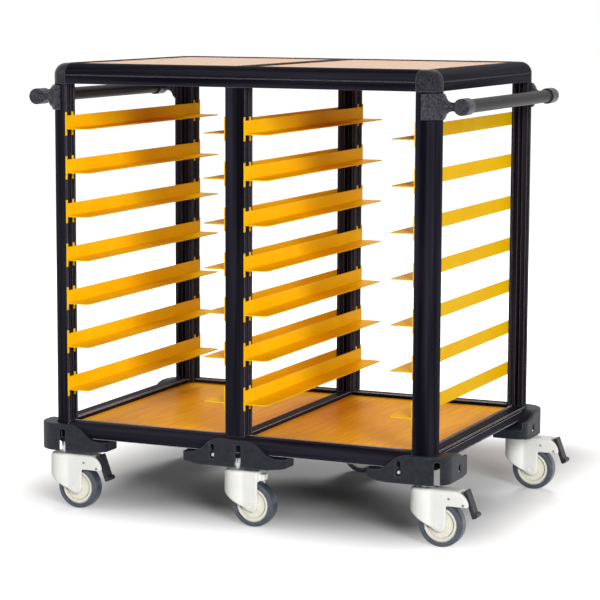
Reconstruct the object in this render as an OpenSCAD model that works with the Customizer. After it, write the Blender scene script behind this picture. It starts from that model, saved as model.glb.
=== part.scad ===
// Tray return trolley: a slotted frame with two columns of tray runners,
// a push handle on each side, moulded bumpers and six swivelling casters.

/* [Frame] */
// Width over the corner posts
frame_w = 922; // [900:2:960]
// Depth over the corner posts
frame_d = 670; // [620:2:720]
// Height of the top rim above the floor
frame_h = 1007; // [990:1:1040]
// Side of the square that a post or rail fits in
post_w = 45; // [42:0.5:48]
// Wall thickness of the extruded posts and rails
wall = 2.5; // [2:0.1:3]
// Height of a top rail
top_rail_h = 45; // [42:1:50]
// Radius of the outer top edge of the top frame
top_round = 26; // [20:1:30]
// Height of a base rail
base_rail_h = 35; // [32:1:40]
// Radius of the outer top edge of the front and rear base rails
base_edge_r = 8; // [6:0.5:9]
// Height of a side base rail
side_rail_h = 30; // [28:0.5:32]
// Height of the lip above the slot of a side base rail
side_lip_h = 4; // [3:0.5:5]
// Height of the slot of a side base rail
side_slot_h = 4; // [3:0.5:5]
// Depth of the slot of a side base rail
side_slot_d = 9; // [7:0.5:10]
// Step along the lower edge of a side base rail
side_step = 4; // [3:0.5:5]
// Width of the ledge that carries a panel
ledge_w = 9; // [7:0.5:10]

/* [Slots] */
// Mouth of a post slot
slot_w = 9; // [8:0.5:10]
// Thickness of the lips beside the mouth
slot_lip = 2.5; // [2:0.1:3]
// Width of the slot behind its lips
slot_inner_w = 16; // [14:0.5:17]
// Depth of the slot behind its lips
slot_inner_d = 6; // [5:0.5:6]
// Width of a shallow line in an extruded face
line_w = 3; // [2:0.5:3.5]
// Depth of a shallow line
line_d = 1.2; // [0.8:0.1:1.4]
// Distance of the lines from the middle of a post face
line_out = 17; // [15:0.5:17]

/* [Panels] */
// Thickness of the top and base panels
panel_t = 8; // [6:0.5:10]
// Depth of the top panels below the rim
top_recess = 2; // [1:0.5:4]
// Depth of the base panels below their rim
base_recess = 9; // [6:0.5:10]
// Gap round a panel and between fixed pieces
fit = 0.2; // [0.1:0.05:0.3]

/* [Runners] */
// Levels in a column
levels = 7; // [4:1:7]
// Distance from level to level
level_pitch = 98; // [92:1:100]
// Height of the lowest runner above the base rim
first_level = 73; // [65:1:80]
// Least clear height between the highest runner and the top frame
head_room = 50; // [40:1:50]
// Thickness of the runner sheet
runner_t = 2; // [1.5:0.1:2.5]
// Height of the runner web
runner_h = 30; // [24:1:34]
// Width of the runner flange
flange_w = 54; // [45:1:60]
// Corner radius of the flange
flange_r = 8; // [4:1:12]
// Height of the tongue that hooks in the slot
tongue_h = 18; // [12:1:20]
// Width of the prongs that stand against the post at each runner end
prong_w = 5; // [4:0.5:6]
// Reach of the prongs above the web
prong_up = 8; // [5:1:12]
// Reach of the prongs below the web
prong_down = 14; // [8:1:16]
// Distance between the two prongs of one end
prong_gap = 28; // [24:1:34]

/* [Handles] */
// Distance of the tube axis from the post face
handle_out = 45.5; // [42:0.5:50]
// Depth of the tube axis below the top rim
handle_drop = 76.5; // [74:0.5:80]
// Diameter of the handle tube
tube_d = 29; // [26:0.5:30]
// Diameter of the knuckle that holds the tube
knuckle_d = 36; // [35:0.5:40]
// Length of a knuckle
knuckle_l = 43; // [38:1:48]
// Height of the bracket saddle
saddle_h = 55; // [50:1:57]
// Thickness of the bracket saddle
saddle_t = 6; // [4:0.5:7]
// Angle by which the saddle stays behind the front of the post
saddle_from = 14; // [8:1:20]
// Angle by which the saddle ends before the inner face of the post
saddle_to = 4; // [2:1:6]
// Radius of the bracket arm at its neck
neck_r = 9.5; // [8.5:0.25:10]
// Distance of the neck from the post face
neck_out = 24; // [22:0.5:26]
// Radius of the flare from neck to saddle
flare_r = 18; // [16:0.5:20]
// Reach of the arm past the inner face of the post
arm_lip = 2; // [1:0.5:3]

/* [Bumpers] */
// Reach of a bumper wing from its post
bumper_reach = 124; // [118:1:132]
// Proud depth of the front wall
bumper_front = 12; // [10:0.5:16]
// Proud depth of the side wall
bumper_side = 34; // [28:1:38]
// Wall thickness of a bumper
bumper_wall = 4; // [3:0.5:5]
// Radius of the outer corner of a corner bumper in plan
bumper_round = 50; // [44:1:52]
// Radius of the ends of a bumper in plan
end_round = 22; // [16:1:26]
// Drop of a bumper below the base rails
bumper_drop = 32; // [28:1:34]
// Rise of a bumper along its post
bumper_rise = 31; // [26:1:33]
// Half width of the high part of a bumper
bumper_flat = 30; // [26:1:36]
// Length of the S-curve down to the wing
bumper_swoop = 78; // [65:1:80]
// Top of a wing tip below the base rails
tip_top = 4; // [3:0.5:6]
// Height of a wing tip
tip_h = 22; // [16:0.5:24]
// Length of the rising underside of a wing
tip_rise = 48; // [40:1:55]
// Width of a fixing slot
bolt_slot_w = 10; // [8:0.5:12]
// Height of a fixing slot
bolt_slot_h = 32; // [26:1:34]
// Place of a fixing slot beside its post
bolt_slot_x = -50; // [-56:1:-44]
// Thickness of the raised outer lip of a side wing
lip_w = 10; // [8:0.5:12]
// Distance of the tip of that lip below the top of the bumper
lip_drop = 18; // [14:0.5:22]
// Place of the slot through a side wing, behind its post
side_bolt_y = 60; // [54:1:66]
// Width of the notch in front of a stem
notch_w = 13; // [11:0.5:15]
// Height of the notch in front of a stem
notch_h = 50; // [44:1:54]
// Place of the notch beside its post
notch_x = 13; // [10:1:16]
// Place of the notch in a right-hand corner bumper
corner_notch_x = 36; // [32:1:38]

/* [Casters] */
// Wheel diameter
wheel_d = 100; // [94:1:106]
// Wheel width over the tyre
wheel_w = 32; // [28:0.5:34]
// Thickness of the tyre
tyre_t = 11; // [8:0.5:13]
// Shoulder radius of the tyre
tyre_round = 8; // [5:0.5:8]
// Distance of the axle behind the stem
trail = 40; // [36:0.5:42]
// Stem diameter
stem_d = 13; // [11:0.5:14]
// Axle diameter
axle_d = 10; // [8:0.5:11]
// Radius of the housing round the stem
tower_r = 31; // [28:0.5:33]
// Height of the housing above the axle
tower_h = 76; // [74:0.5:80]
// Height of the low corner of the housing above the axle
tower_low = 27; // [22:1:32]
// Thickness of a cheek
cheek_t = 5.5; // [5:0.5:7]
// Radius of a cheek round the axle
cheek_r = 15; // [13:0.5:16]
// Rounding of the housing's top edge
tower_round = 7; // [4:0.5:10]
// Gap between wheel and housing
wheel_gap = 3; // [2.5:0.25:3.5]
// Gap beside the wheel
side_gap = 2; // [1.5:0.25:2.5]
// Length of the stem inside the housing
stem_grip = 22; // [18:0.5:24]
// Thickness of the stem's collar
collar_t = 3; // [2:0.5:4]
// Stem length in sight between housing and bumper
stem_show = 7; // [6.5:0.5:9]
// Radius of a beak's nose
beak_r = 33; // [30:0.5:33.5]
// Reach of a beak from the stem
beak_reach = 105; // [102:0.5:107]
// Underside of a beak above the axle
beak_low = 42; // [40:0.5:44]

/* [Brake pedals] */
// Pedal thickness
pedal_t = 8; // [6:0.5:9]
// Pedal width
pedal_w = 26; // [20:0.5:28]
// Pedal length
pedal_l = 62; // [56:0.5:64]
// Rounding of the pedal's ends
pedal_round = 3; // [2:0.25:3]
// Radius of the roll along the toe of a pedal
toe_r = 5.5; // [4.5:0.25:6]
// Lean of the pedal from upright
pedal_lean = 20; // [17:0.5:23]
// Distance of the pedal from its pivot
pedal_off = 10; // [9:0.5:12]
// Part of the pedal above its pivot
pedal_up = 0.44; // [0.4:0.01:0.46]
// Radius of the pedal hub
pedal_hub_r = 7.5; // [6.5:0.25:8]
// Width of the arm between hub and pedal
pedal_arm_w = 11; // [8:0.5:12]
// Pivot pin diameter
pivot_d = 6; // [5:0.25:7]
// Distance of the pivot behind the tip of the beak
pivot_in = 11; // [10:0.5:13]
// Height of the pivot above the underside of the beak
pivot_up = 5.5; // [5:0.25:8]

/* [Hidden] */
$fn = 96;
eps = 0.05;
run_fit = 0.06;
seat_fit = 0.04;
half_w = frame_w / 2;
half_d = frame_d / 2;
inner_x = half_w - post_w;
inner_y = half_d - post_w;
post_x = half_w - post_w / 2;
post_y = half_d - post_w / 2;
rim_w = post_w - ledge_w;
cross_rim_w = post_w - 2 * ledge_w;
slot_deep = slot_lip + slot_inner_d;
chamber_in = slot_deep + wall;

axle_z = wheel_d / 2;
hood_top = axle_z + tower_h;
bumper_low = hood_top + stem_show;
base_z = bumper_low + bumper_drop;
base_top = base_z + base_rail_h;
top_z = frame_h - top_rail_h;
base_rebate = base_recess + panel_t;
top_rebate = top_recess + panel_t;
runner_z = base_top + first_level;
level_steps = [for (level = [0 : levels - 1])
    if (runner_z + level * level_pitch + runner_h + head_room <= top_z) level];

handle_x = half_w + handle_out;
handle_z = frame_h - handle_drop;
knuckle_r = knuckle_d / 2;
socket_d = knuckle_l / 2;
tube_wall = 2;
arm_y = inner_y + neck_r - arm_lip;
knuckle_y = inner_y + 2 * neck_r;

bumper_high = base_z + bumper_rise;
tip_high = base_z - tip_top;
hub_r = stem_d / 2 + bumper_wall;
hub_h = bumper_drop / 2;

slot_half = wheel_w / 2 + side_gap;
cheek_half = slot_half + cheek_t;
rim_r = axle_z - tyre_t;
stem_bottom = hood_top - stem_grip;
stem_top = base_z + base_rail_h / 2;
nose_x = beak_reach - beak_r;
nose_z = hood_top - beak_r;
pivot_x = beak_reach - pivot_in;
pivot_z = axle_z + beak_low + pivot_up;
pedal_slot_half = pedal_w / 2 + fit;
pedal_mid = [pivot_x + pedal_off * cos(pedal_lean), pivot_z + pedal_off * sin(pedal_lean)];
pedal_dir = [sin(pedal_lean), -cos(pedal_lean)];
pedal_high = pedal_mid - pedal_l * pedal_up * pedal_dir;
pedal_low = pedal_mid + pedal_l * (1 - pedal_up) * pedal_dir;
pedal_side = [cos(pedal_lean), sin(pedal_lean)];
toe_at = pedal_low - toe_r * pedal_dir + pedal_t / 2 * pedal_side;
pedal_reach = toe_at[0] + toe_r;

// The casters trail to the right, so the frame stands left of the middle of the whole.
rest_shift = (post_x + pedal_reach - handle_x - knuckle_r) / 2;

post_colour = "#23212b";
panel_colour = "#eaa22c";
runner_colour = "#f8b000";
trim_colour = "#2c2e33";
tube_colour = "#767274";
white_colour = "#f2f2ec";
tyre_colour = "#424852";
steel_colour = "#c9cbce";

casters = [
    ["front_left", -post_x, -post_y, true],
    ["front_middle", 0, -post_y, false],
    ["front_right", post_x, -post_y, true],
    ["rear_left", -post_x, post_y, true],
    ["rear_middle", 0, post_y, false],
    ["rear_right", post_x, post_y, true]
];

NODES = concat(
    [for (c = casters) str("post_", c[0])],
    ["top_rail_front", "top_rail_rear", "top_rail_left", "top_rail_right", "top_cross_rail"],
    ["top_corner_joints", "top_panel_left", "top_panel_right"],
    ["base_rail_front", "base_rail_rear", "base_rail_left", "base_rail_right", "base_cross_rail"],
    ["base_panel_left", "base_panel_right"],
    ["runners_left_outer", "runners_left_inner", "runners_right_inner", "runners_right_outer"],
    ["handle_tube_left", "handle_tube_right", "handle_brackets_left", "handle_brackets_right"],
    ["corner_bumpers", "middle_bumpers", "caster_stems"],
    [for (c = casters) for (piece = ["housing", "axle", "wheel", "tyre"]) str("caster_", c[0], "_", piece)],
    [for (c = casters) if (c[3]) str("caster_", c[0], "_pedal")]
);
node = "all";

function wanted(name) = node == "all" || node == name;

// Point where the lower tangent from p meets the circle of radius r round c
function tangent_point(p, c, r) =
    let (d = c - p, dist = norm(d), turn = atan2(d[1], d[0]) - asin(r / dist))
    p + sqrt(dist * dist - r * r) * [cos(turn), sin(turn)];

// Pieces are drawn at the right or the front and mirrored to the other side
module left_of() {
    mirror([1, 0, 0]) children();
}

module rear_of() {
    mirror([0, 1, 0]) children();
}

module both_ends() {
    children();
    rear_of() children();
}

module four_corners() {
    both_ends() children();
    left_of() both_ends() children();
}

// Outlines along the right axes: along x with the outline's x to the back, or along y with it to the left
module along_x(length) {
    rotate([90, 0, 90]) linear_extrude(length) children();
}

module along_y(length) {
    rotate([90, 0, 180]) linear_extrude(length) children();
}

// Rectangle with its two corners at y = 0 rounded
module soft_rect(w, d, r_start, r_end) {
    difference() {
        square([w, d]);
        if (r_start > 0) corner_waste(r_start);
        if (r_end > 0) translate([w, 0]) mirror([1, 0]) corner_waste(r_end);
    }
}

module corner_waste(r) {
    difference() {
        translate([-eps, -eps]) square(r + eps);
        translate([r, r]) circle(r);
    }
}

// Area under an S-curve of two equal arcs that falls from drop to nothing
module swoop(length, drop) {
    r = (length * length + drop * drop) / (4 * drop);
    intersection() {
        translate([0, drop - r]) circle(r, $fn = 180);
        square([length / 2, drop]);
    }
    difference() {
        translate([length / 2 - eps, 0]) square([length / 2 + eps, drop / 2]);
        translate([length, r]) circle(r, $fn = 180);
    }
}

module quarter_round(r) {
    intersection() {
        circle(r);
        square(r);
    }
}

// Slot with lips, cut from y = 0 inwards, and a shallow line on both sides of it
module slot_outline() {
    translate([-slot_w / 2, -eps]) square([slot_w, slot_lip + 2 * eps]);
    translate([-slot_inner_w / 2, slot_lip]) square([slot_inner_w, slot_inner_d]);
    for (side = [-1, 1])
        translate([side * line_out - line_w / 2, -eps]) square([line_w, line_d + eps]);
}

module corner_post_outline() {
    difference() {
        quarter_round(post_w);
        intersection() {
            circle(post_w - wall);
            translate([chamber_in, chamber_in]) square(post_w);
        }
        translate([post_w / 2, 0]) slot_outline();
        translate([0, post_w / 2]) rotate(-90) slot_outline();
    }
}

module middle_post_outline() {
    difference() {
        translate([-post_w / 2, -post_w / 2]) soft_rect(post_w, post_w, wall, wall);
        translate([chamber_in - post_w / 2, wall - post_w / 2])
            square([post_w - 2 * chamber_in, post_w - wall - chamber_in]);
        translate([-post_w / 2, 0]) rotate(-90) slot_outline();
        translate([post_w / 2, 0]) rotate(90) slot_outline();
        translate([0, post_w / 2]) rotate(180) slot_outline();
    }
}

module corner_post() {
    color(post_colour) translate([inner_x, -inner_y, base_z])
        rotate(-90) linear_extrude(top_z - base_z) corner_post_outline();
}

module middle_post() {
    color(post_colour) translate([0, -post_y, base_top])
        linear_extrude(top_z - base_top) middle_post_outline();
}

// Top frame: outlines run from the outer face inwards
module top_rail_solid_outline() {
    difference() {
        translate([0, top_rail_h]) mirror([0, 1]) soft_rect(post_w, top_rail_h, top_round, 0);
        translate([rim_w, top_rail_h - top_rebate]) square([post_w, top_rail_h]);
    }
}

module top_rail_chamber(gap) {
    translate([2 * wall + gap, wall + gap])
        square([post_w - 3 * wall - 2 * gap, top_rail_h - top_round - 2 * gap]);
}

module top_rail_outline() {
    difference() {
        top_rail_solid_outline();
        top_rail_chamber(0);
        translate([-eps, (top_rail_h - line_w) / 2 - wall]) square([line_d + eps, line_w / 2]);
    }
}

module top_rail_front() {
    color(post_colour) translate([-inner_x, -half_d, top_z]) along_x(2 * inner_x) top_rail_outline();
}

module top_rail_right() {
    color(post_colour) translate([half_w, -inner_y, top_z]) along_y(2 * inner_y) top_rail_outline();
}

// The corner joint is the rail's outline swept round the post, with spigots in rails and post
module top_corner_joint() {
    spigot_l = post_w / 2;
    spigot_r = min(post_w / 2 - chamber_in, post_w - wall - post_w / sqrt(2)) - 2 * fit;
    color(post_colour) translate([inner_x, -inner_y, top_z]) {
        rotate(-90) rotate_extrude(angle = 90)
            translate([post_w, 0]) mirror([1, 0]) top_rail_solid_outline();
        translate([-spigot_l, -post_w, 0]) along_x(spigot_l + eps) top_rail_chamber(fit);
        translate([post_w, -eps, 0]) along_y(spigot_l + eps) top_rail_chamber(fit);
        translate([post_w / 2, -post_w / 2, -spigot_l])
            cylinder(r = spigot_r, h = spigot_l + eps);
    }
}

// Cross rail with a ledge on both sides; its rim reaches over the ledges of the front and rear rails
module cross_rail(z, height, rebate) {
    color(post_colour) translate([0, 0, z]) {
        translate([-post_w / 2, -inner_y, 0]) difference() {
            cube([post_w, 2 * inner_y, height - rebate]);
            translate([wall, -eps, wall])
                cube([post_w - 2 * wall, 2 * inner_y + 2 * eps, height - rebate - 2 * wall]);
        }
        translate([-cross_rim_w / 2, fit - inner_y - ledge_w, height - rebate])
            cube([cross_rim_w, 2 * (inner_y + ledge_w - fit), rebate]);
    }
}

module top_panel() {
    x_in = cross_rim_w / 2 + fit;
    length = half_w - rim_w - fit - x_in;
    depth = half_d - rim_w - fit;
    color(panel_colour) translate([x_in, 0, frame_h - top_rebate]) linear_extrude(panel_t)
        both_ends() translate([0, -depth]) soft_rect(length, depth + eps, 0, ledge_w - fit);
}

// Base frame: what is cut from a rail for the panel, and the line beside it
module panel_edge() {
    translate([rim_w, base_rail_h - base_rebate]) square([post_w, base_rail_h]);
    translate([rim_w - 3 * line_w, base_rail_h - 2 * line_d]) square([2 * line_w, post_w]);
}

module base_rail_outline() {
    difference() {
        translate([0, base_rail_h]) mirror([0, 1]) soft_rect(post_w, base_rail_h, base_edge_r, 0);
        translate([wall, wall]) square([rim_w - 2 * wall, base_rail_h - 2 * wall - base_edge_r]);
        panel_edge();
    }
}

// Side rail, with a slot along its outer face and a step under it
module side_rail_outline() {
    low = base_rail_h - side_rail_h;
    slot_low = base_rail_h - side_lip_h - side_slot_h;
    difference() {
        translate([0, low]) square([post_w, side_rail_h]);
        translate([-eps, slot_low]) square([side_slot_d + eps, side_slot_h]);
        translate([-eps, low - eps]) square([side_step + eps, side_step + eps]);
        translate([side_slot_d + wall, low + wall])
            square([rim_w - side_slot_d - 2 * wall, side_rail_h - 2 * wall - 2 * line_d]);
        panel_edge();
    }
}

module base_rail_front() {
    color(post_colour) difference() {
        translate([-inner_x, -half_d, base_z]) along_x(2 * inner_x) base_rail_outline();
        translate([0, -post_y, base_z - eps]) cylinder(d = stem_d + 2 * fit, h = 2 * wall);
    }
}

module base_rail_right() {
    color(post_colour) translate([half_w, -inner_y, base_z]) along_y(2 * inner_y) side_rail_outline();
}

// Base panel, notched round the corner posts
module base_panel() {
    x_in = cross_rim_w / 2 + fit;
    color(panel_colour) translate([x_in, 0, base_top - base_rebate]) linear_extrude(panel_t) {
        translate([0, fit - inner_y - ledge_w])
            square([inner_x - fit - x_in, 2 * (inner_y + ledge_w - fit)]);
        translate([0, fit - inner_y])
            square([inner_x + ledge_w - fit - x_in, 2 * (inner_y - fit)]);
    }
}

// Outline of a runner's web, with two prongs at each end that hook over the posts
module runner_web() {
    translate([-half_d, 0]) square([frame_d, runner_h]);
    for (end = [-1, 1], inset = [0, prong_gap])
        translate([end * (half_d - inset - prong_w / 2) - prong_w / 2, -prong_down])
            square([prong_w, prong_up + runner_h + prong_down]);
}

// Runner: web on the post faces, flange towards the tray, a tongue in each post's slot
module runner() {
    tongue_w = slot_w - 4 * fit;
    tongue_d = slot_lip + runner_t;
    rotate([90, 0, 90]) linear_extrude(runner_t) runner_web();
    translate([0, half_d, 0]) rotate(-90) linear_extrude(runner_t)
        translate([0, flange_w]) mirror([0, 1]) soft_rect(frame_d, flange_w, flange_r, flange_r);
    for (end = [-1, 1])
        translate([-tongue_d, end * post_y - tongue_w / 2, (runner_h - tongue_h) / 2])
            cube([tongue_d + eps, tongue_w, tongue_h]);
}

module runner_stack(x) {
    color(runner_colour) for (level = level_steps)
        translate([x, 0, runner_z + level * level_pitch]) runner();
}

module outer_runners() {
    left_of() runner_stack(0 - inner_x);
}

module inner_runners() {
    runner_stack(post_w / 2);
}

// Push handle: tube between two brackets that wrap the corner posts
module handle_tube() {
    length = 2 * (knuckle_y - socket_d);
    color(tube_colour) translate([handle_x, length / 2, handle_z]) rotate([90, 0, 0]) difference() {
        cylinder(d = tube_d, h = length);
        translate([0, 0, -eps]) cylinder(d = tube_d - 2 * tube_wall, h = length + 2 * eps);
    }
}

// Bracket: saddle round the post, arm to the knuckle, socket for the tube
module handle_bracket() {
    color(trim_colour) difference() {
        union() {
            saddle();
            difference() {
                translate([post_x, -arm_y, handle_z]) rotate([0, 90, 0]) bracket_arm();
                translate([0, arm_lip - inner_y, 0]) cube([frame_w, frame_d, frame_h]);
            }
            translate([handle_x, -knuckle_y, handle_z]) rotate([-90, 0, 0]) rotate_extrude()
                soft_rect(knuckle_r, knuckle_l, 0, knuckle_r / 6);
        }
        translate([inner_x, -inner_y, top_z / 2]) cylinder(r = post_w + seat_fit, h = top_z);
        translate([handle_x, socket_d - knuckle_y, handle_z]) rotate([-90, 0, 0])
            cylinder(d = tube_d + 2 * seat_fit, h = knuckle_l);
    }
}

module saddle() {
    translate([inner_x, -inner_y, handle_z - saddle_h / 2]) rotate(saddle_from - 90)
        rotate_extrude(angle = 90 - saddle_from - saddle_to)
            translate([post_w - saddle_t, 0]) square([2 * saddle_t, saddle_h]);
}

// Round arm with a flare that narrows from the saddle to the neck
module bracket_arm() {
    base_r = (saddle_h - saddle_t) / 2;
    neck_at = post_w / 2 + neck_out;
    rotate_extrude() {
        square([neck_r, post_w / 2 + handle_out - knuckle_r / 2]);
        difference() {
            square([base_r, neck_at]);
            translate([neck_r + flare_r - fit, neck_at]) circle(flare_r);
        }
    }
}

// Bumper wing seen from its open side: high round the post, falling in an S-curve to the tip
module wing_elevation(back, inset, tip_z) {
    low = inset > 0 ? bumper_low - eps : bumper_low;
    high = bumper_high - inset;
    tip = bumper_reach - inset;
    ledge = tip_z - inset;
    translate([-back, low]) square([back + bumper_flat, high - low]);
    translate([bumper_flat - eps, low]) square([tip - bumper_flat + eps, ledge - low]);
    translate([bumper_flat - eps, ledge - eps]) swoop(bumper_swoop, high - ledge);
}

// Waste under a wing, so that its underside rises to the tip
module wing_rise() {
    polygon([
        [bumper_reach - tip_rise, bumper_low - eps],
        [bumper_reach + eps, bumper_low - eps],
        [bumper_reach + eps, tip_high - tip_h]
    ]);
}

module wing_body(back, inset, tip_z) {
    difference() {
        wing_elevation(back, inset, tip_z);
        if (inset == 0) wing_rise();
    }
}

// Wing along the front, from the post to the left; inset makes the smaller shape of its hollow
module front_wing(back, corner, inset) {
    front = post_w / 2 + bumper_front;
    deep = post_w + bumper_front - 2 * inset;
    intersection() {
        translate([inset - bumper_reach, inset - front, 0]) linear_extrude(frame_h)
            soft_rect(bumper_reach + back - 2 * inset, deep, bumper_front - inset, corner - inset);
        left_of() translate([0, frame_d, 0]) rotate([90, 0, 0]) linear_extrude(2 * frame_d)
            wing_body(back, inset, tip_high);
    }
}

// Wing along the side, from the post to the rear, up to a height at its tip
module side_wing(inset, tip_z) {
    front = post_w / 2 + bumper_front;
    wide = post_w + bumper_side - 2 * inset;
    intersection() {
        translate([inset - post_w / 2, bumper_reach - inset, 0]) rotate(-90) linear_extrude(frame_h)
            translate([0, wide]) mirror([0, 1])
                soft_rect(bumper_reach + front - 2 * inset, wide, end_round - inset, bumper_round - inset);
        translate([-frame_w, 0, 0]) along_x(2 * frame_w) wing_body(front, inset, tip_z);
    }
}

// Outer lip of the side wing, which falls less than the rest of it
module side_lip() {
    intersection() {
        side_wing(0, bumper_high - lip_drop);
        translate([post_w / 2 + bumper_side - lip_w, -bumper_reach, 0])
            cube([2 * lip_w, 2 * bumper_reach + eps, frame_h]);
    }
}

// Lower end of post and rails, grown sideways and downwards by a gap
module frame_foot(gap, below) {
    reach = 2 * bumper_reach;
    translate([0, 0, base_z - below]) {
        translate([-post_w / 2, post_w / 2, 0]) rotate(-90)
            linear_extrude(frame_h) quarter_round(post_w + gap);
        translate([-reach, -post_w / 2 - gap, 0]) cube([reach - post_w / 2, post_w + 2 * gap, frame_h]);
        translate([-post_w / 2 - gap, post_w / 2, 0]) cube([post_w + 2 * gap, reach, frame_h]);
    }
}

module bumper_hub() {
    translate([0, 0, base_z - hub_h]) cylinder(r = hub_r, h = hub_h);
}

module stem_hole() {
    cylinder(d = stem_d + 2 * seat_fit, h = base_top);
}

// Opening through the front wall, drawn from a height upwards
module front_opening(x, width, low, height) {
    front = post_w / 2 + bumper_front + eps;
    translate([x - width / 2, -front, low]) cube([width, bumper_front + bumper_wall, height]);
}

module bolt_slot() {
    front_opening(bolt_slot_x, bolt_slot_w, base_z - hub_h, bolt_slot_h);
}

module side_bolt_slot() {
    translate([post_w / 2 + bumper_side - lip_w - bumper_wall, side_bolt_y - bolt_slot_w / 2, base_z - hub_h])
        cube([2 * lip_w, bolt_slot_w, bolt_slot_h / 2]);
}

module stem_notch(x) {
    front_opening(x, notch_w, bumper_low - eps, notch_h);
}

module corner_bumper_body() {
    back = post_w / 2 + bumper_side;
    difference() {
        union() {
            front_wing(back, bumper_round, 0);
            side_wing(0, tip_high);
            side_lip();
        }
        frame_foot(fit, 0);
        difference() {
            union() {
                front_wing(back, bumper_round, bumper_wall);
                side_wing(bumper_wall, tip_high);
            }
            frame_foot(bumper_wall, bumper_wall);
            bumper_hub();
        }
        stem_hole();
        side_bolt_slot();
    }
}

module middle_bumper() {
    difference() {
        union() {
            front_wing(bumper_flat, end_round, 0);
            left_of() front_wing(bumper_flat, end_round, 0);
        }
        translate([-frame_w, -post_w / 2 - fit, base_z]) cube([2 * frame_w, 2 * post_w, frame_h]);
        difference() {
            union() {
                front_wing(bumper_flat, end_round, bumper_wall);
                left_of() front_wing(bumper_flat, end_round, bumper_wall);
            }
            translate([-frame_w, -post_w / 2 - bumper_wall, base_z - bumper_wall])
                cube([2 * frame_w, 2 * post_w, frame_h]);
            bumper_hub();
        }
        stem_hole();
        bolt_slot();
        stem_notch(notch_x);
    }
}

module corner_bumpers() {
    color(trim_colour) both_ends() {
        translate([post_x, -post_y, 0]) difference() {
            corner_bumper_body();
            bolt_slot();
            stem_notch(corner_notch_x);
        }
        translate([-post_x, -post_y, 0]) difference() {
            left_of() corner_bumper_body();
            stem_notch(notch_x);
        }
    }
}

module middle_bumpers() {
    color(trim_colour) both_ends() translate([0, -post_y, 0]) middle_bumper();
}

// Stem with a collar over the housing, up into the post or rail
module caster_stems() {
    color(steel_colour) for (c = casters) translate([c[1], c[2], 0]) {
        translate([0, 0, stem_bottom]) cylinder(d = stem_d, h = stem_top - stem_bottom);
        translate([0, 0, hood_top + 2 * fit]) cylinder(r = stem_d / 2 + collar_t, h = collar_t);
    }
}

// Housing seen from the side: tower round the stem, cheeks down to the axle, beak for the pedal
module hood_outline(braked) {
    low_corner = [-tower_r, axle_z + tower_low];
    hub = [trail, axle_z];
    shoulder_z = axle_z + beak_low;
    front_x = trail + cheek_r;
    translate([-tower_r, shoulder_z]) square([tower_r + front_x, hood_top - shoulder_z]);
    polygon([
        low_corner,
        tangent_point(low_corner, hub, cheek_r),
        hub,
        [front_x, axle_z],
        [front_x, shoulder_z + eps],
        [-tower_r, shoulder_z + eps]
    ]);
    translate(hub) circle(cheek_r);
    if (braked) {
        translate([front_x - eps, shoulder_z]) square([nose_x - front_x + eps, hood_top - shoulder_z]);
        intersection() {
            translate([nose_x, nose_z]) circle(beak_r);
            translate([nose_x - eps, shoulder_z]) square([2 * beak_r, tower_h]);
        }
    }
}

// Housing seen from above: round tower and a strip as wide as the cheeks
module hood_plan() {
    rotate_extrude() {
        square([tower_r, hood_top - tower_round]);
        square([tower_r - tower_round, hood_top]);
        translate([tower_r - tower_round, hood_top - tower_round]) circle(tower_round);
    }
    rotate([90, 0, 90]) linear_extrude(beak_reach + eps) strip_section();
}

// Cross-section of the strip, with its two top edges rounded
module strip_section() {
    translate([-cheek_half, 0]) square([2 * cheek_half, hood_top - tower_round]);
    translate([tower_round - cheek_half, 0]) square([2 * (cheek_half - tower_round), hood_top]);
    for (side = [-1, 1])
        translate([side * (cheek_half - tower_round), hood_top - tower_round]) circle(tower_round);
}

module across(width) {
    translate([0, width / 2, 0]) rotate([90, 0, 0]) linear_extrude(width) children();
}

module housing(braked) {
    color(white_colour) difference() {
        intersection() {
            across(2 * tower_r) hood_outline(braked);
            hood_plan();
        }
        across(2 * slot_half) translate([trail, axle_z]) circle(axle_z + wheel_gap);
        translate([0, 0, stem_bottom - fit]) cylinder(d = stem_d + 2 * run_fit, h = tower_h);
        across(2 * cheek_half - wheel_gap) translate([trail, axle_z]) circle(d = axle_d + 2 * seat_fit);
        if (braked) {
            across(2 * pedal_slot_half)
                translate([pivot_x - pedal_hub_r - wheel_gap, 0]) square([beak_reach, frame_h]);
            across(2 * cheek_half - wheel_gap) translate([pivot_x, pivot_z]) circle(d = pivot_d + 2 * run_fit);
        }
    }
    if (!braked) color(white_colour) blind_stub();
}

// Stub that closes the pedal's place on an unbraked housing
module blind_stub() {
    stub_l = 12;
    stub_h = 15;
    translate([trail + cheek_r - eps, -cheek_half / 2, hood_top - tower_round - stub_h])
        cube([stub_l, cheek_half, stub_h]);
}

module axle() {
    color(steel_colour) translate([trail, 0, axle_z]) rotate([90, 0, 0])
        cylinder(d = axle_d, h = 2 * cheek_half - wheel_gap - 2 * fit, center = true);
}

// Wheel centre: hub, recessed disc with a raised ring, rim
module wheel_half_outline() {
    hub_r = axle_d / 2 + 7;
    ring_r = rim_r * 0.8;
    disc_half = wheel_w * 0.3;
    ring_half = wheel_w * 0.42;
    translate([axle_d / 2 + run_fit, 0]) square([hub_r - axle_d / 2, slot_half - 2 * fit]);
    translate([hub_r - eps, 0]) square([ring_r - wall - hub_r + eps, disc_half]);
    translate([ring_r - wall - eps, 0]) square([wall + 2 * eps, disc_half - wall]);
    translate([ring_r, 0]) square([rim_r - ring_r, ring_half - wall]);
    translate([ring_r, ring_half - wall]) square([rim_r - ring_r - wall, wall]);
}

module wheel() {
    color(white_colour) translate([trail, 0, axle_z]) rotate([90, 0, 0]) rotate_extrude() {
        wheel_half_outline();
        mirror([0, 1]) wheel_half_outline();
    }
}

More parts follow.
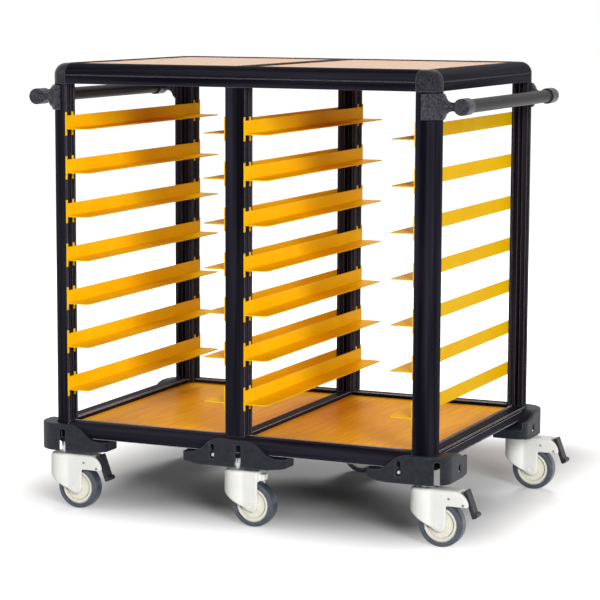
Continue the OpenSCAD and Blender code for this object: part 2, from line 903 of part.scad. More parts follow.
module tyre() {
    inner = rim_r + seat_fit;
    flat = wheel_w / 2 - tyre_round;
    color(tyre_colour) translate([trail, 0, axle_z]) rotate([90, 0, 0]) rotate_extrude() {
        translate([inner, -wheel_w / 2]) square([axle_z - tyre_round - inner, wheel_w]);
        translate([inner, -flat]) square([axle_z - inner, 2 * flat]);
        for (side = [-1, 1]) intersection() {
            translate([axle_z - tyre_round, side * flat]) circle(tyre_round);
            translate([inner, -wheel_w]) square([axle_z, 2 * wheel_w]);
        }
    }
}

// Pedal: leaning bar with round ends, a hub on its inner side and a pin through the hub
module pedal_outline() {
    half_l = pedal_l / 2;
    translate((pedal_high + pedal_low) / 2) rotate(pedal_lean) both_ends()
        translate([-pedal_t / 2, -half_l]) soft_rect(pedal_t, half_l + eps, pedal_round, pedal_round);
    translate(toe_at) circle(toe_r);
    translate([pivot_x, pivot_z]) {
        circle(pedal_hub_r);
        rotate(pedal_lean) translate([0, -pedal_arm_w / 2]) square([pedal_off, pedal_arm_w]);
    }
}

module pedal() {
    color(trim_colour) {
        across(pedal_w) pedal_outline();
        across(2 * cheek_half - wheel_gap - 2 * fit) translate([pivot_x, pivot_z]) circle(d = pivot_d);
    }
}

module caster(c) {
    name = str("caster_", c[0]);
    translate([c[1], c[2], 0]) {
        if (wanted(str(name, "_housing"))) housing(c[3]);
        if (wanted(str(name, "_axle"))) axle();
        if (wanted(str(name, "_wheel"))) wheel();
        if (wanted(str(name, "_tyre"))) tyre();
        if (c[3] && wanted(str(name, "_pedal"))) pedal();
    }
}

translate([-rest_shift, 0, 0]) {
    if (wanted("post_front_left")) left_of() corner_post();
    if (wanted("post_front_middle")) middle_post();
    if (wanted("post_front_right")) corner_post();
    if (wanted("post_rear_left")) left_of() rear_of() corner_post();
    if (wanted("post_rear_middle")) rear_of() middle_post();
    if (wanted("post_rear_right")) rear_of() corner_post();
    if (wanted("top_rail_front")) top_rail_front();
    if (wanted("top_rail_rear")) rear_of() top_rail_front();
    if (wanted("top_rail_left")) left_of() top_rail_right();
    if (wanted("top_rail_right")) top_rail_right();
    if (wanted("top_cross_rail")) cross_rail(top_z, top_rail_h, top_rebate);
    if (wanted("top_corner_joints")) four_corners() top_corner_joint();
    if (wanted("top_panel_left")) left_of() top_panel();
    if (wanted("top_panel_right")) top_panel();
    if (wanted("base_rail_front")) base_rail_front();
    if (wanted("base_rail_rear")) rear_of() base_rail_front();
    if (wanted("base_rail_left")) left_of() base_rail_right();
    if (wanted("base_rail_right")) base_rail_right();
    if (wanted("base_cross_rail")) cross_rail(base_z, base_rail_h, base_rebate);
    if (wanted("base_panel_left")) left_of() base_panel();
    if (wanted("base_panel_right")) base_panel();
    if (wanted("runners_left_outer")) left_of() outer_runners();
    if (wanted("runners_left_inner")) left_of() inner_runners();
    if (wanted("runners_right_inner")) inner_runners();
    if (wanted("runners_right_outer")) outer_runners();
    if (wanted("handle_tube_left")) left_of() handle_tube();
    if (wanted("handle_tube_right")) handle_tube();
    if (wanted("handle_brackets_left")) left_of() both_ends() handle_bracket();
    if (wanted("handle_brackets_right")) both_ends() handle_bracket();
    if (wanted("corner_bumpers")) corner_bumpers();
    if (wanted("middle_bumpers")) middle_bumpers();
    if (wanted("caster_stems")) caster_stems();
    for (c = casters) caster(c);
}
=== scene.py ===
import math

import bpy
from mathutils import Matrix, Vector


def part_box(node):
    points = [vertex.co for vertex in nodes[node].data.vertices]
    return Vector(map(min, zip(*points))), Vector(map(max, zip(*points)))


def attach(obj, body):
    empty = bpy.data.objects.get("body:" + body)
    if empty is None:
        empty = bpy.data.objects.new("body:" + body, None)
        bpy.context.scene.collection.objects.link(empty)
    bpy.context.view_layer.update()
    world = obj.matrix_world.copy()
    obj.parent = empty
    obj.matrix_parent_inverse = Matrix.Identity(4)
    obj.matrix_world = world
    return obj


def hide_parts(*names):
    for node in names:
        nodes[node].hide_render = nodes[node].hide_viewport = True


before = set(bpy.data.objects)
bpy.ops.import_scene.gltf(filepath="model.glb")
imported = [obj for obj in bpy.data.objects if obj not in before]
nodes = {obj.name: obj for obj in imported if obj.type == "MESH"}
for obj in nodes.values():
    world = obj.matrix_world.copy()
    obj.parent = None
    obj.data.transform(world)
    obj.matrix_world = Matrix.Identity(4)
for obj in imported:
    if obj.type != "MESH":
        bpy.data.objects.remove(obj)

bpy.ops.object.select_all(action="DESELECT")
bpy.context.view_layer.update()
centre_x = (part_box("post_front_middle")[0].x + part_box("post_front_middle")[1].x) / 2


# Studio: a pale floor that fades into a white surround, and five soft lamps, with the camera at
# the photograph's viewing angle, to the right of the trolley and a little above its top.
AZIMUTH = math.radians(23.857)
PITCH = math.radians(7.798)
ROLL = math.radians(0.227)
CAMERA_AT = Vector((centre_x + 2.1032, -4.7377, 1.1709))
LENS_MM = 136.08
SENSOR_MM = 36.0
VIEW_REACH = 100
AMBIENT = 0.1
FLOOR_REACH = 60.0
SHADOW_MID = (-0.04, 0.26, 0)   # field of the floor that keeps the trolley's shadow, in metres
SHADOW_HALF = (0.36, 0.4, 0)
FADE = 0.42                     # width of the fade from that field to white
LAMPS_AIM = Vector((centre_x, 0, 0.55))


def linear(code):
    """An sRGB hex colour as linear RGBA."""
    parts = [int(code[i:i + 2], 16) / 255 for i in (1, 3, 5)]
    return tuple(c / 12.92 if c <= 0.04045 else ((c + 0.055) / 1.055) ** 2.4 for c in parts) + (1.0,)


def add_node(tree, kind, links=None, **settings):
    """A shader node with its settings, and with sockets that take a value or another node's output."""
    made = tree.nodes.new(kind)
    for name, value in settings.items():
        setattr(made, name, value)
    for name, value in (links or {}).items():
        if isinstance(value, bpy.types.NodeSocket):
            tree.links.new(value, made.inputs[name])
        else:
            made.inputs[name].default_value = value
    return made


def new_material(name):
    """An empty node material and its tree."""
    made = bpy.data.materials.new(name)
    made.use_nodes = True
    made.node_tree.nodes.clear()
    return made, made.node_tree


def seen_rays(tree):
    """1 for the rays that show the studio itself: from the camera, off gloss or through glass."""
    ray = add_node(tree, "ShaderNodeLightPath")
    seen = ray.outputs["Is Camera Ray"]
    for kind in ("Is Glossy Ray", "Is Transmission Ray"):
        either = add_node(tree, "ShaderNodeMath", {0: seen, 1: ray.outputs[kind]}, operation="MAXIMUM")
        seen = either.outputs[0]
    return seen


forward = Vector((
    -math.sin(AZIMUTH) * math.cos(PITCH), math.cos(AZIMUTH) * math.cos(PITCH), -math.sin(PITCH)))
right = Vector((math.cos(AZIMUTH), math.sin(AZIMUTH), 0))
up = right.cross(forward)
right, up = (
    math.cos(ROLL) * right + math.sin(ROLL) * up, math.cos(ROLL) * up - math.sin(ROLL) * right)
view_axes = Matrix((right, up, -forward)).transposed()
bpy.ops.object.camera_add(location=CAMERA_AT, rotation=view_axes.to_euler())
camera = bpy.context.object
camera.data.lens = LENS_MM
camera.data.sensor_width = SENSOR_MM
camera.data.clip_end = VIEW_REACH
bpy.context.scene.camera = camera

world = bpy.data.worlds.new("studio_surround")
bpy.context.scene.world = world
world.use_nodes = True
tree = world.node_tree
tree.nodes.clear()
shown = add_node(tree, "ShaderNodeMapRange", {"Value": seen_rays(tree), "To Min": AMBIENT, "To Max": 1.0})
surround = add_node(tree, "ShaderNodeBackground", {"Color": (1, 1, 1, 1), "Strength": shown.outputs[0]})
add_node(tree, "ShaderNodeOutputWorld", {"Surface": surround.outputs[0]})

floor_paper, tree = new_material("white_paper_floor")
where = add_node(tree, "ShaderNodeTexCoord")
apart = add_node(tree, "ShaderNodeVectorMath", {
    0: where.outputs["Object"], 1: SHADOW_MID}, operation="SUBTRACT")
apart = add_node(tree, "ShaderNodeVectorMath", {0: apart.outputs["Vector"]}, operation="ABSOLUTE")
apart = add_node(tree, "ShaderNodeVectorMath", {
    0: apart.outputs["Vector"], 1: SHADOW_HALF}, operation="SUBTRACT")
apart = add_node(tree, "ShaderNodeVectorMath", {
    0: apart.outputs["Vector"], 1: (0, 0, 0)}, operation="MAXIMUM")
away = add_node(tree, "ShaderNodeVectorMath", {0: apart.outputs["Vector"]}, operation="LENGTH")
fade = add_node(tree, "ShaderNodeMapRange", {
    "Value": away.outputs["Value"], "From Max": FADE}, interpolation_type="SMOOTHSTEP")
glow = add_node(tree, "ShaderNodeMath", {0: seen_rays(tree), 1: fade.outputs[0]}, operation="MULTIPLY")
paper = add_node(tree, "ShaderNodeBsdfDiffuse", {"Color": linear("#CFCFCF")})
light = add_node(tree, "ShaderNodeEmission", {"Color": (1, 1, 1, 1), "Strength": glow.outputs[0]})
both = add_node(tree, "ShaderNodeAddShader", {0: paper.outputs[0], 1: light.outputs[0]})
add_node(tree, "ShaderNodeOutputMaterial", {"Surface": both.outputs[0]})
bpy.ops.mesh.primitive_plane_add(size=FLOOR_REACH, location=(centre_x, 0, 0))
floor = bpy.context.object
floor.name = "floor"
floor.data.materials.append(floor_paper)

for name, place, size, watts, in_gloss in (
    ("key_softbox", (9.0, -10.1, 5.9), 4.3, 1190, False),
    ("low_softbox", (9.7, -8.6, 1.5), 2.9, 540, False),
    ("front_softbox", (0.8, -5.0, 2.6), 1.2, 36, True),
    ("left_softbox", (-3.6, -2.4, 2.2), 2.0, 30, True),
    ("rear_softbox", (-1.0, 4.2, 3.0), 1.6, 140, False),
):
    aim = LAMPS_AIM - Vector(place)
    turn = aim.to_track_quat("-Z", "Y").to_euler()
    bpy.ops.object.light_add(type="AREA", location=place, rotation=turn)
    lamp = bpy.context.object
    lamp.name = name
    lamp.data.size = size
    lamp.data.energy = watts
    lamp.visible_glossy = in_gloss


# Posts and rails: aluminium extrusions with slots and grooves, anodised black. The die leaves fine lines
# along each length, long paler and darker streaks along it are a painted sheen, and every edge is painted
# paler as a highlight.
ENDS = ("front", "rear")
SIDES = ("left", "right")
PLACES = [end + "_" + place for end in ENDS for place in ("left", "middle", "right")]


def painted_edge_shading(tree, colour, painted_edge_colour, width_mm):
    """A colour that turns to another along the edges of a piece: a painted highlight where that one is
    paler, painted shade where it is darker.
    """
    edge_free_at = 0.98             # cosine between the true normal and the one of a rounded edge
    edge_full_at = 0.76
    rounded = add_node(tree, "ShaderNodeBevel", {"Radius": width_mm / 1000}, samples=4)
    flat = add_node(tree, "ShaderNodeNewGeometry")
    agree = add_node(tree, "ShaderNodeVectorMath", {
        0: rounded.outputs[0], 1: flat.outputs["True Normal"]}, operation="DOT_PRODUCT")
    edge_share = add_node(tree, "ShaderNodeMapRange", {
        "Value": agree.outputs["Value"], "From Min": edge_free_at, "From Max": edge_full_at})
    # Sockets 6 and 7 of a Mix node are its two colours, and output 2 is the mixed one.
    mixed = add_node(tree, "ShaderNodeMix", {
        "Factor": edge_share.outputs[0], 6: colour, 7: linear(painted_edge_colour)}, data_type="RGBA")
    return mixed.outputs[2]


def black_anodised(name, along, painted_edge_colour, painted_edge_mm):
    """Black anodised aluminium: satin, with die lines and long streaks of painted sheen along one axis (0
    x, 1 y, 2 z), and a painted highlight along its edges.
    """
    line_mm = 1.2
    length_mm = 160.0
    sheen_streak_mm = 18.0
    sheen_streak_length_mm = 720.0
    made, tree = new_material(name)
    where = add_node(tree, "ShaderNodeTexCoord")
    squeeze = [1000 / line_mm] * 3
    squeeze[along] = 1000 / length_mm
    grain_at = add_node(tree, "ShaderNodeMapping", {"Vector": where.outputs["Object"], "Scale": squeeze})
    grain = add_node(tree, "ShaderNodeTexNoise", {
        "Vector": grain_at.outputs[0], "Scale": 1.0, "Detail": 3.0})
    # Long paler and darker streaks along the length: a painted sheen.
    sheen_streak = [1000 / sheen_streak_mm] * 3
    sheen_streak[along] = 1000 / sheen_streak_length_mm
    sheen_streak_at = add_node(tree, "ShaderNodeMapping", {"Vector": where.outputs["Object"], "Scale": sheen_streak})
    cloud = add_node(tree, "ShaderNodeTexNoise", {
        "Vector": sheen_streak_at.outputs[0], "Scale": 1.0, "Detail": 2.0})
    tone = add_node(tree, "ShaderNodeValToRGB", {"Fac": cloud.outputs["Fac"]})
    tone.color_ramp.elements[0].position = 0.35
    tone.color_ramp.elements[0].color = linear("#0E0C13")
    tone.color_ramp.elements[1].position = 0.65
    tone.color_ramp.elements[1].color = linear("#2A2831")
    rough = add_node(tree, "ShaderNodeMapRange", {
        "Value": grain.outputs["Fac"], "To Min": 0.4, "To Max": 0.55})
    bump = add_node(tree, "ShaderNodeBump", {
        "Height": grain.outputs["Fac"], "Strength": 0.12, "Distance": 0.0002})
    skin = add_node(tree, "ShaderNodeBsdfPrincipled", {
        "Base Color": painted_edge_shading(tree, tone.outputs["Color"], painted_edge_colour, painted_edge_mm), "Roughness": rough.outputs[0],
        "Specular IOR Level": 0.012, "Normal": bump.outputs[0]})
    add_node(tree, "ShaderNodeOutputMaterial", {"Surface": skin.outputs[0]})
    return made


def dress(material, *names):
    """Gives CAD nodes one material."""
    for name in names:
        nodes[name].data.materials.clear()
        nodes[name].data.materials.append(material)


# Every edge of the posts and rails is painted paler as a highlight; on the base rails that painted
# highlight is paler and wider.
black_along = [
    black_anodised("black_anodised_" + axis, i, painted_edge_colour="#706E76", painted_edge_mm=1.6)
    for i, axis in enumerate("xyz")]
black_base_strong_highlight = [
    black_anodised("black_anodised_base_highlit_" + axis, i, painted_edge_colour="#CFCBD4", painted_edge_mm=3.0)
    for i, axis in enumerate("xy")]
dress(black_along[2], *("post_" + place for place in PLACES))
for storey, film in (("top", black_along), ("base", black_base_strong_highlight)):
    dress(film[0], *(storey + "_rail_" + end for end in ENDS))
    dress(film[1], *(storey + "_rail_" + side for side in SIDES), storey + "_cross_rail")


# Corner joints: caps moulded in black nylon, which close the top frame over the corner posts and
# plug into the rails with spigots. Their skin is mottled and has a low gloss.
def moulded_plastic(name, dark, light, painted_edge_tone, painted_edge_mm, cloud_mm, grain_mm, roughness, relief, specular):
    """Moulded plastic with the fine spark-eroded grain of its tool, and its edges painted in another
    colour: a painted highlight where that is paler, painted shade where it is darker.
    """
    rough_spread = 0.06
    made, tree = new_material(name)
    where = add_node(tree, "ShaderNodeTexCoord")
    grain = add_node(tree, "ShaderNodeTexNoise", {
        "Vector": where.outputs["Object"], "Scale": 1000 / grain_mm, "Detail": 2.0})
    cloud = add_node(tree, "ShaderNodeTexNoise", {
        "Vector": where.outputs["Object"], "Scale": 1000 / cloud_mm, "Detail": 3.0})
    tone = add_node(tree, "ShaderNodeValToRGB", {"Fac": cloud.outputs["Fac"]})
    tone.color_ramp.elements[0].position = 0.3
    tone.color_ramp.elements[0].color = linear(dark)
    tone.color_ramp.elements[1].position = 0.7
    tone.color_ramp.elements[1].color = linear(light)
    rough = add_node(tree, "ShaderNodeMapRange", {
        "Value": grain.outputs["Fac"], "To Min": roughness - rough_spread,
        "To Max": roughness + rough_spread})
    bump = add_node(tree, "ShaderNodeBump", {
        "Height": grain.outputs["Fac"], "Strength": relief, "Distance": 0.0003})
    skin = add_node(tree, "ShaderNodeBsdfPrincipled", {
        "Base Color": painted_edge_shading(tree, tone.outputs["Color"], painted_edge_tone, painted_edge_mm), "Roughness": rough.outputs[0],
        "IOR": 1.5, "Specular IOR Level": specular, "Normal": bump.outputs[0]})
    add_node(tree, "ShaderNodeOutputMaterial", {"Surface": skin.outputs[0]})
    return made


# The paler edges of the corner joints are a painted highlight along their seams.
joint_nylon = moulded_plastic(
    "black_joint_nylon", dark="#0C0A0E", light="#38363E", painted_edge_tone="#6C6A72", painted_edge_mm=0.8, cloud_mm=4.0,
    grain_mm=1.6, roughness=0.28, relief=0.25, specular=0.12)
dress(joint_nylon, "top_corner_joints")


# Panels: laminate boards slid into grooves of the rails, orange on the face that is used. The face
# is embossed with a mesh, drawn coarser than the real one so that it shows, and has a low gloss.
def orange_laminate(name, dark, light, underside, roughness, specular):
    """Orange laminate with a faint slanting grain, a mesh pressed into its face and an underside of one
    given colour, which on the base boards is painted shade.
    """
    line_mm = 9.0
    line_length_mm = 120.0
    line_slant = math.radians(28)
    speck_mm = 1.5
    mesh_mm = 11.0
    wire_mm = 3.0
    wire_share = 0.3
    down = -0.5
    made, tree = new_material(name)
    where = add_node(tree, "ShaderNodeTexCoord")
    turned = add_node(tree, "ShaderNodeMapping", {
        "Vector": where.outputs["Object"], "Rotation": (0, 0, line_slant),
        "Scale": (1000 / line_mm, 1000 / line_length_mm, 1)})
    lines = add_node(tree, "ShaderNodeTexNoise", {"Vector": turned.outputs[0], "Scale": 1.0, "Detail": 2.0})
    in_mm = add_node(tree, "ShaderNodeMapping", {
        "Vector": where.outputs["Object"], "Scale": (1000, 1000, 1000)})
    mesh = add_node(tree, "ShaderNodeTexBrick", {
        "Vector": in_mm.outputs[0], "Scale": 1.0, "Brick Width": mesh_mm, "Row Height": mesh_mm,
        "Mortar Size": wire_mm, "Mortar Smooth": 1.0}, offset=0.0)
    marks = add_node(tree, "ShaderNodeMath", {
        0: mesh.outputs["Fac"], 1: wire_share, 2: lines.outputs["Fac"]}, operation="MULTIPLY_ADD")
    specks = add_node(tree, "ShaderNodeTexNoise", {
        "Vector": where.outputs["Object"], "Scale": 1000 / speck_mm, "Detail": 2.0})
    height = add_node(tree, "ShaderNodeMath", {
        0: marks.outputs[0], 1: specks.outputs["Fac"]}, operation="ADD")
    tone = add_node(tree, "ShaderNodeValToRGB", {"Fac": marks.outputs[0]})
    tone.color_ramp.elements[0].position = 0.3
    tone.color_ramp.elements[0].color = linear(dark)
    tone.color_ramp.elements[1].position = 0.9
    tone.color_ramp.elements[1].color = linear(light)
    bump = add_node(tree, "ShaderNodeBump", {
        "Height": height.outputs[0], "Strength": 0.1, "Distance": 0.0005})
    flat = add_node(tree, "ShaderNodeNewGeometry")
    facing = add_node(tree, "ShaderNodeSeparateXYZ", {0: flat.outputs["True Normal"]})
    under = add_node(tree, "ShaderNodeMath", {0: facing.outputs["Z"], 1: down}, operation="LESS_THAN")
    colour = add_node(tree, "ShaderNodeMix", {
        "Factor": under.outputs[0], 6: tone.outputs["Color"], 7: linear(underside)}, data_type="RGBA")
    skin = add_node(tree, "ShaderNodeBsdfPrincipled", {
        "Base Color": colour.outputs[2], "Roughness": roughness, "Specular IOR Level": specular,
        "Normal": bump.outputs[0]})
    add_node(tree, "ShaderNodeOutputMaterial", {"Surface": skin.outputs[0]})
    return made


top_laminate = orange_laminate(
    "orange_laminate_top", dark="#EE9606", light="#F8A818", underside="#E8820A",
    roughness=0.2, specular=0.1)
# The base boards' face is a paler, yellower orange than the top boards': painted light for the shade of the
# top over them. Their dark underside is painted shade, which keeps orange bounce light off the floor under
# the trolley.
base_laminate_painted_light_and_shade = orange_laminate(
    "orange_laminate_base_painted_light_and_shade", dark="#F2A010", light="#FFC83A", underside="#2B2725",
    roughness=0.35, specular=0.01)
dress(top_laminate, *("top_panel_" + side for side in SIDES))
dress(base_laminate_painted_light_and_shade, *("base_panel_" + side for side in SIDES))


# Tray runners: folded aluminium angles, powder coated yellow, which hang by their tongues in the
# slots of the posts. The baked coat has a faint orange peel and little gloss.
def yellow_powder_coat():
    """Yellow polyester powder coat, with the ripple that it keeps from the oven."""
    peel_mm = 3.0
    cloud_mm = 90.0
    made, tree = new_material("yellow_powder_coat")
    where = add_node(tree, "ShaderNodeTexCoord")
    peel = add_node(tree, "ShaderNodeTexNoise", {
        "Vector": where.outputs["Object"], "Scale": 1000 / peel_mm, "Detail": 1.0})
    cloud = add_node(tree, "ShaderNodeTexNoise", {
        "Vector": where.outputs["Object"], "Scale": 1000 / cloud_mm, "Detail": 2.0})
    tone = add_node(tree, "ShaderNodeValToRGB", {"Fac": cloud.outputs["Fac"]})
    tone.color_ramp.elements[0].position = 0.3
    tone.color_ramp.elements[0].color = linear("#FFC000")
    tone.color_ramp.elements[1].position = 0.7
    tone.color_ramp.elements[1].color = linear("#FFCC10")
    bump = add_node(tree, "ShaderNodeBump", {
        "Height": peel.outputs["Fac"], "Strength": 0.1, "Distance": 0.0004})
    skin = add_node(tree, "ShaderNodeBsdfPrincipled", {
        "Base Color": tone.outputs["Color"], "Roughness": 0.45, "Specular IOR Level": 0.03,
        "Normal": bump.outputs[0]})
    add_node(tree, "ShaderNodeOutputMaterial", {"Surface": skin.outputs[0]})
    return made


RUNNERS = ["runners_" + side + "_" + place for side in SIDES for place in ("outer", "inner")]
dress(yellow_powder_coat(), *RUNNERS)


# Push handles: round aluminium tubes, satin anodised grey, pushed into the sockets of brackets
# moulded in black nylon. Each bracket wraps a corner post and is held there by four screws.
SADDLE_R = 0.0502               # outside of a bracket, from the middle of its post's round
SADDLE_Z = 0.9305
SCREW_RISE = 0.019              # screws above and below the middle of the bracket
SCREW_TURNS = (math.radians(19), math.radians(64))
SMOOTH_UNDER = math.radians(50)  # bends flatter than this are shaded smooth
SAME_POINT = 1e-5


def grey_anodised_tube():
    """Grey anodised aluminium tube, drawn lengthwise, which leaves fine lines along it."""
    line_mm = 0.8
    length_mm = 60.0
    made, tree = new_material("grey_anodised_tube")
    where = add_node(tree, "ShaderNodeTexCoord")
    grain_at = add_node(tree, "ShaderNodeMapping", {
        "Vector": where.outputs["Object"], "Scale": (1000 / line_mm, 1000 / length_mm, 1000 / line_mm)})
    grain = add_node(tree, "ShaderNodeTexNoise", {
        "Vector": grain_at.outputs[0], "Scale": 1.0, "Detail": 3.0})
    tone = add_node(tree, "ShaderNodeValToRGB", {"Fac": grain.outputs["Fac"]})
    tone.color_ramp.elements[0].color = linear("#222021")
    tone.color_ramp.elements[1].color = linear("#343233")
    rough = add_node(tree, "ShaderNodeMapRange", {
        "Value": grain.outputs["Fac"], "To Min": 0.34, "To Max": 0.5})
    skin = add_node(tree, "ShaderNodeBsdfPrincipled", {
        "Base Color": tone.outputs["Color"], "Metallic": 0.1, "Roughness": rough.outputs[0],
        "Specular IOR Level": 0.06})
    add_node(tree, "ShaderNodeOutputMaterial", {"Surface": skin.outputs[0]})
    return made


def softened(node, name, material, voxel_mm, passes, share):
    """A copy of a CAD moulding with the rounded edges that its tool gives it."""
    made = bpy.data.objects.new(name, nodes[node].data.copy())
    bpy.context.scene.collection.objects.link(made)
    bpy.ops.object.select_all(action="DESELECT")
    made.select_set(True)
    bpy.context.view_layer.objects.active = made
    bpy.ops.object.mode_set(mode="EDIT")
    bpy.ops.mesh.select_all(action="SELECT")
    bpy.ops.mesh.remove_doubles(threshold=SAME_POINT)
    bpy.ops.object.mode_set(mode="OBJECT")
    skin = made.modifiers.new("skin", "REMESH")
    skin.mode = "VOXEL"
    skin.voxel_size = voxel_mm / 1000
    bpy.ops.object.modifier_apply(modifier=skin.name)
    edges = made.modifiers.new("edges", "SMOOTH")
    edges.factor = 0.5
    edges.iterations = passes
    bpy.ops.object.modifier_apply(modifier=edges.name)
    thin = made.modifiers.new("thin", "DECIMATE")
    thin.ratio = share
    bpy.ops.object.modifier_apply(modifier=thin.name)
    bpy.ops.object.shade_smooth_by_angle(angle=SMOOTH_UNDER)
    made.data.materials.clear()
    made.data.materials.append(material)
    return made


def round_head(name, material, radius, height, socket):
    """A low round head along +Z from its seat, with a rolled rim and a socket sunk in its face (metres)."""
    upward = 0.9
    rim_w = height / 6
    socket_depth = height / 2
    bpy.ops.object.select_all(action="DESELECT")
    bpy.ops.mesh.primitive_cylinder_add(
        vertices=32, radius=radius, depth=height, location=(0, 0, height / 2))
    made = bpy.context.object
    made.name = name
    bpy.ops.object.transform_apply(location=True, rotation=True, scale=True)
    bpy.ops.object.mode_set(mode="EDIT")
    bpy.ops.mesh.select_mode(type="FACE")
    bpy.ops.mesh.select_all(action="DESELECT")
    bpy.ops.object.mode_set(mode="OBJECT")
    for face in made.data.polygons:
        face.select = face.normal.z > upward
    bpy.ops.object.mode_set(mode="EDIT")
    bpy.ops.mesh.inset(thickness=radius - socket)
    bpy.ops.mesh.extrude_region_move(TRANSFORM_OT_translate={"value": (0, 0, -socket_depth)})
    bpy.ops.object.mode_set(mode="OBJECT")
    rim = made.modifiers.new("rim", "BEVEL")
    rim.width = rim_w
    rim.segments = 3
    rim.limit_method = "ANGLE"
    bpy.ops.object.modifier_apply(modifier=rim.name)
    bpy.ops.object.shade_smooth_by_angle(angle=SMOOTH_UNDER)
    made.data.materials.append(material)
    return made


def facing_out(seat, out):
    """The place of a head that sits on a seat and faces outwards."""
    return Matrix.Translation(seat) @ out.to_track_quat("Z", "Y").to_matrix().to_4x4()


def copy_at(source, place, name):
    """A copy of a piece with a mesh of its own, set at a place."""
    made = bpy.data.objects.new(name, source.data.copy())
    made.data.transform(place)
    bpy.context.scene.collection.objects.link(made)
    return made


def joined(copies, name):
    """Copies that stay together, as one piece."""
    bpy.ops.object.select_all(action="DESELECT")
    for made in copies:
        made.select_set(True)
    bpy.context.view_layer.objects.active = copies[0]
    bpy.ops.object.join()
    copies[0].name = name
    return copies[0]


dress(grey_anodised_tube(), *("handle_tube_" + side for side in SIDES))
# The paler edges of the brackets are a painted highlight.
bracket_nylon = moulded_plastic(
    "black_nylon", dark="#19171C", light="#4A4850", painted_edge_tone="#545258", painted_edge_mm=0.8, cloud_mm=5.0,
    grain_mm=1.6, roughness=0.34, relief=0.25, specular=0.16)
bracket_screw = round_head("bracket_screw", bracket_nylon, radius=0.0042, height=0.0022, socket=0.0022)
for side in SIDES:
    brackets = softened(
        "handle_brackets_" + side, "handle_brackets_" + side + "_moulded", bracket_nylon,
        voxel_mm=1.2, passes=10, share=0.3)
    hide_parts("handle_brackets_" + side)
    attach(brackets, "frame")
    screws = []
    for end in ENDS:
        post_low, post_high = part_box("post_" + end + "_" + side)
        bend_x, out_x = (post_low.x, 1) if side == "right" else (post_high.x, -1)
        bend_y, out_y = (post_high.y, -1) if end == "front" else (post_low.y, 1)
        for turn in SCREW_TURNS:
            for rise in (-SCREW_RISE, SCREW_RISE):
                out = Vector((out_x * math.cos(turn), out_y * math.sin(turn), 0))
                seat = Vector((bend_x, bend_y, SADDLE_Z + rise)) + out * SADDLE_R
                screws.append(copy_at(bracket_screw, facing_out(seat, out), "screw"))
    screws = joined(screws, "bracket_screws_" + side)
    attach(screws, "frame")
bpy.data.objects.remove(bracket_screw)


# Bumpers: thick mouldings in black polyethylene, bolted under the base rails over each caster.
# Zinc plated bolts sit low in the slots of their front walls.
BOLT_X = -0.05                  # bolt from the middle of its post
BOLT_Z = 0.157


def zinc_plate():
    """Steel with a bright zinc plate, faintly clouded."""
    cloud_mm = 4.0
    made, tree = new_material("zinc_plated_steel")
    where = add_node(tree, "ShaderNodeTexCoord")
    cloud = add_node(tree, "ShaderNodeTexNoise", {
        "Vector": where.outputs["Object"], "Scale": 1000 / cloud_mm, "Detail": 3.0})
    tone = add_node(tree, "ShaderNodeValToRGB", {"Fac": cloud.outputs["Fac"]})
    tone.color_ramp.elements[0].color = linear("#C4C6C8")
    tone.color_ramp.elements[1].color = linear("#DADCDD")
    rough = add_node(tree, "ShaderNodeMapRange", {
        "Value": cloud.outputs["Fac"], "To Min": 0.24, "To Max": 0.4})
    skin = add_node(tree, "ShaderNodeBsdfPrincipled", {
        "Base Color": tone.outputs["Color"], "Metallic": 1.0, "Roughness": rough.outputs[0]})
    add_node(tree, "ShaderNodeOutputMaterial", {"Surface": skin.outputs[0]})
    return made


zinc = zinc_plate()
# The paler edges of the bumpers, 4 mm wide, are a painted highlight along their sloping tops.
bumper_plastic = moulded_plastic(
    "black_polyethylene", dark="#10131A", light="#20232A", painted_edge_tone="#63666E", painted_edge_mm=4.0, cloud_mm=12.0,
    grain_mm=1.6, roughness=0.5, relief=0.2, specular=0.25)
for node in ("corner_bumpers", "middle_bumpers"):
    bumpers = softened(node, node + "_moulded", bumper_plastic, voxel_mm=1.6, passes=14, share=0.3)
    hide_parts(node)
    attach(bumpers, "frame")
bolt_head = round_head("bolt_head", zinc, radius=0.0042, height=0.005, socket=0.0024)
bolts = []
for place in ("front_middle", "front_right", "rear_middle", "rear_right"):
    post_low, post_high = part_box("post_" + place)
    face_y, out_y = (post_low.y, -1) if "front" in place else (post_high.y, 1)
    seat = Vector(((post_low.x + post_high.x) / 2 + BOLT_X, face_y, BOLT_Z))
    bolts.append(copy_at(bolt_head, facing_out(seat, Vector((0, out_y, 0))), "bolt"))
bolts = joined(bolts, "bumper_bolts")
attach(bolts, "frame")
bpy.data.objects.remove(bolt_head)


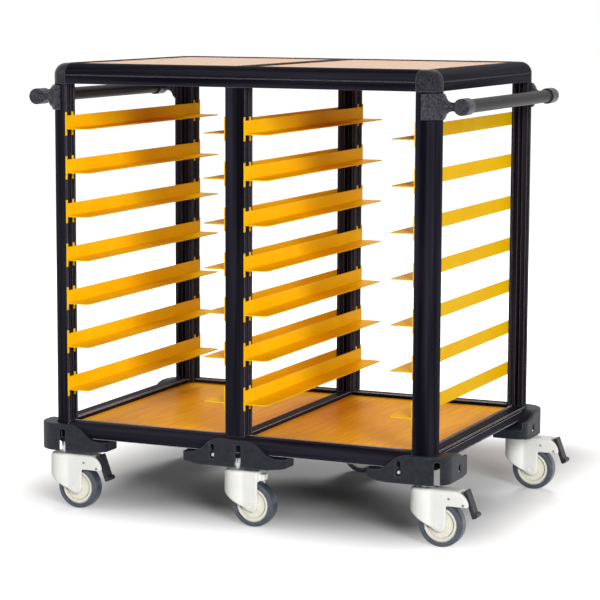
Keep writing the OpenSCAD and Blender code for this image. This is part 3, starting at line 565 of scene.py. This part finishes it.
# Casters: hoods and wheel centres moulded in white nylon, grey rubber tyres moulded on the wheels,
# and charcoal pedals. The hoods turn on zinc plated stems. A cap covers each end of the axle, and
# two small pins cross the hoods that have a pedal.
CHEEK_OUT = 0.0226              # outside of a hood's cheek, from the middle of the wheel
HOOD_PINS = ((0.022, 0.109), (0.054, 0.0975))   # across from the axle and up from the floor
# The paler edges of the hoods, tyres and pedals are a painted highlight.
hood_nylon = moulded_plastic(
    "white_nylon", dark="#E6E7E2", light="#EEEEEA", painted_edge_tone="#F0F0EC", painted_edge_mm=0.8, cloud_mm=35.0,
    grain_mm=2.0, roughness=0.36, relief=0.05, specular=0.25)
# The darker edges of the wheel centres are painted shade along their rings and grooves.
wheel_nylon = moulded_plastic(
    "cream_nylon", dark="#E4E2D4", light="#ECEADC", painted_edge_tone="#A8A496", painted_edge_mm=1.2, cloud_mm=35.0,
    grain_mm=2.0, roughness=0.36, relief=0.05, specular=0.5)
tyre_rubber = moulded_plastic(
    "grey_rubber", dark="#363D48", light="#464D5A", painted_edge_tone="#60676F", painted_edge_mm=0.8, cloud_mm=20.0,
    grain_mm=1.0, roughness=0.3, relief=0.1, specular=0.6)
pedal_plastic = moulded_plastic(
    "charcoal_nylon", dark="#1E1E24", light="#28282E", painted_edge_tone="#4A4A52", painted_edge_mm=0.8, cloud_mm=12.0,
    grain_mm=1.2, roughness=0.45, relief=0.15, specular=0.3)
dress(zinc, "caster_stems")
axle_cap = round_head("axle_cap", hood_nylon, radius=0.0092, height=0.0016, socket=0.0066)
hood_pin = round_head("hood_pin", pedal_plastic, radius=0.0024, height=0.0016, socket=0.0012)
hoods = {
    place: softened(
        "caster_" + place + "_housing", "caster_" + place + "_hood", hood_nylon,
        voxel_mm=1.2, passes=40, share=0.3)
    for place in ("front_left", "front_middle")}
for place in PLACES:
    caster = "caster_" + place
    braked = "middle" not in place
    first = "front_left" if braked else "front_middle"
    hood = hoods[first]
    if place != first:
        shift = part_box(caster + "_housing")[0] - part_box("caster_" + first + "_housing")[0]
        hood = copy_at(hood, Matrix.Translation(shift), caster + "_hood")
    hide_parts(caster + "_housing")
    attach(hood, caster + "_fork")
    axle_low, axle_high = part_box(caster + "_axle")
    hub = (axle_low + axle_high) / 2
    caps, pins = [], []
    for out in (Vector((0, -1, 0)), Vector((0, 1, 0))):
        caps.append(copy_at(axle_cap, facing_out(hub + out * CHEEK_OUT, out), "cap"))
        if braked:
            for pin_x, pin_z in HOOD_PINS:
                seat = Vector((hub.x + pin_x, hub.y, pin_z)) + out * CHEEK_OUT
                pins.append(copy_at(hood_pin, facing_out(seat, out), "pin"))
    caps = joined(caps, caster + "_axle_caps")
    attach(caps, caster + "_fork")
    dress(wheel_nylon, caster + "_wheel")
    dress(tyre_rubber, caster + "_tyre")
    dress(zinc, caster + "_axle")
    if braked:
        pins = joined(pins, caster + "_hood_pins")
        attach(pins, caster + "_fork")
        dress(pedal_plastic, caster + "_pedal")
bpy.data.objects.remove(axle_cap)
bpy.data.objects.remove(hood_pin)


# Colours are shown as they are written, and the boxes of the bare solids and of the dressed trolley are
# kept beside each other.
bpy.context.scene.view_settings.view_transform = "Standard"
